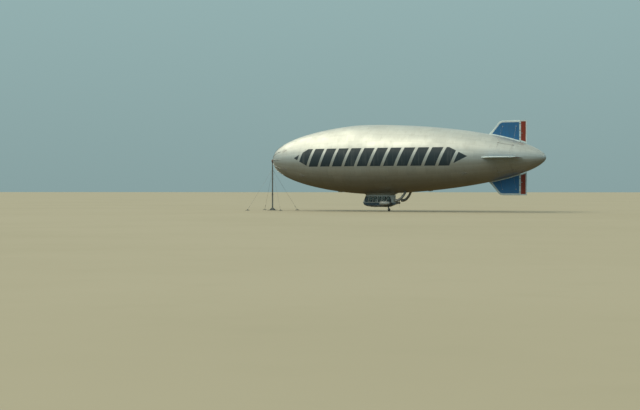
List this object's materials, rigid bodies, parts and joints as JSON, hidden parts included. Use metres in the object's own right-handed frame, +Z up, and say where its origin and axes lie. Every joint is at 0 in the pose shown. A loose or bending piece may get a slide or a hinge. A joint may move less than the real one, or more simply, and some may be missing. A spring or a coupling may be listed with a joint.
{
  "type": "moored non-rigid airship, 1:2 scale model",
  "caption": "Non-rigid airship moored by its nose to a guyed mast and resting on one castor wheel, with a slung car, pusher engines and cross tail fins with hinged rudders and elevators.",
  "frame": {"origin": "on the ground, under the middle of the whole from the front guy shoes to the tail, on the plane of symmetry", "axes": "+X aft along the hull, so the nose and the mast are at -X; +Y to starboard; +Z up"},
  "size_m": [31.611, 7.25, 8.875],
  "materials": {
    "envelope": "satin",
    "nose_metal": "satin",
    "valve_white": "satin",
    "fin_blue": "satin",
    "control_red": "satin",
    "fin_stay": "matte",
    "car_white": "gloss",
    "car_blue": "gloss",
    "car_fairing": "satin",
    "window_glass": "gloss",
    "cabin_floor": "matte",
    "seat_cover": "satin",
    "cockpit_dark": "matte",
    "steel_tube": "satin",
    "nacelle_white": "gloss",
    "outrigger_white": "gloss",
    "engine_metal": "matte",
    "propeller_dark": "satin",
    "scoop_fabric": "satin",
    "wheel_alloy": "satin",
    "tyre": "matte",
    "mast_grey": "satin",
    "mast_red": "satin",
    "guy_wire": "satin"
  },
  "bodies": {
    "ship": {"envelope": "envelope", "stern_cap": "envelope", "nose_cone": "nose_metal", "nose_battens": "nose_metal", "air_valve_bow": "valve_white", "air_valve_stern": "valve_white", "fin_upper": "fin_blue", "fin_port": "fin_blue", "fin_lower": "fin_blue", "fin_starboard": "fin_blue", "fin_stays_upper": "fin_stay", "fin_stays_port": "fin_stay", "fin_stays_lower": "fin_stay", "fin_stays_starboard": "fin_stay", "car_frame": "car_white", "car_tub": "car_blue", "car_roof": "car_fairing", "cabin_glass": "window_glass", "car_floor": "cabin_floor", "seats_front": "seat_cover", "seats_middle": "seat_cover", "seat_bench": "seat_cover", "instrument_panel": "cockpit_dark", "trim_wheel": "cockpit_dark", "handrail_port": "steel_tube", "handrail_starboard": "steel_tube", "gear_strut": "steel_tube", "nacelle_port": "nacelle_white", "nacelle_starboard": "nacelle_white", "outrigger_port": "outrigger_white", "outrigger_starboard": "outrigger_white", "engine_port": "engine_metal", "engine_starboard": "engine_metal", "air_scoop_port": "scoop_fabric", "air_scoop_starboard": "scoop_fabric", "mast_base": "mast_grey", "mast_pole": "mast_grey", "mast_anchor_1": "mast_grey", "mast_anchor_2": "mast_grey", "mast_anchor_3": "mast_grey", "mast_anchor_4": "mast_grey", "mast_head": "mast_red", "mast_guys": "guy_wire"},
    "rudder_upper": {"rudder_upper": "control_red"},
    "rudder_lower": {"rudder_lower": "control_red"},
    "elevator_port": {"elevator_port": "control_red"},
    "elevator_starboard": {"elevator_starboard": "control_red"},
    "propeller_port": {"propeller_port": "propeller_dark"},
    "propeller_starboard": {"propeller_starboard": "propeller_dark"},
    "door": {"door": "car_blue", "door_glass": "window_glass"},
    "fork": {"gear_fork": "steel_tube"},
    "wheel": {"wheel_rim": "wheel_alloy", "tyre": "tyre"}
  },
  "joints": [
    {"name": "rudder_swing", "type": "hinge", "parent": "ship", "child": "rudder_upper", "pos_m": [13.272, 0, 7.9], "axis": [0, 0, 1], "range_deg": [-30, 30]},
    {"name": "lower_rudder_swing", "type": "hinge", "parent": "ship", "child": "rudder_lower", "pos_m": [13.272, 0, 2.6], "axis": [0, 0, 1], "range_deg": [-30, 30]},
    {"name": "elevator_tilt", "type": "hinge", "parent": "ship", "child": "elevator_port", "pos_m": [13.272, -2.65, 5.25], "axis": [0, 1, 0], "range_deg": [-30, 30]},
    {"name": "starboard_elevator_tilt", "type": "hinge", "parent": "ship", "child": "elevator_starboard", "pos_m": [13.272, 2.65, 5.25], "axis": [0, 1, 0], "range_deg": [-30, 30]},
    {"name": "propeller_port_spin", "type": "hinge", "parent": "ship", "child": "propeller_port", "pos_m": [0.219, -1.15, 0.825], "axis": [1, 0, 0], "continuous": true},
    {"name": "propeller_starboard_spin", "type": "hinge", "parent": "ship", "child": "propeller_starboard", "pos_m": [0.219, 1.15, 0.825], "axis": [1, 0, 0], "continuous": true},
    {"name": "door_swing", "type": "hinge", "parent": "ship", "child": "door", "pos_m": [-1.486, 0.5525, 1.05], "axis": [0, 0, 1], "range_deg": [0, 100]},
    {"name": "castor_swivel", "type": "hinge", "parent": "ship", "child": "fork", "pos_m": [-0.511, 0, 0.375], "axis": [0, 0, 1], "continuous": true},
    {"name": "wheel_spin", "type": "hinge", "parent": "fork", "child": "wheel", "pos_m": [-0.441, 0, 0.14], "axis": [0, 1, 0], "continuous": true}
  ],
  "couplings": [
    {"joint": "lower_rudder_swing", "follows": "rudder_swing", "ratio": 1},
    {"joint": "starboard_elevator_tilt", "follows": "elevator_tilt", "ratio": 1}
  ]
}
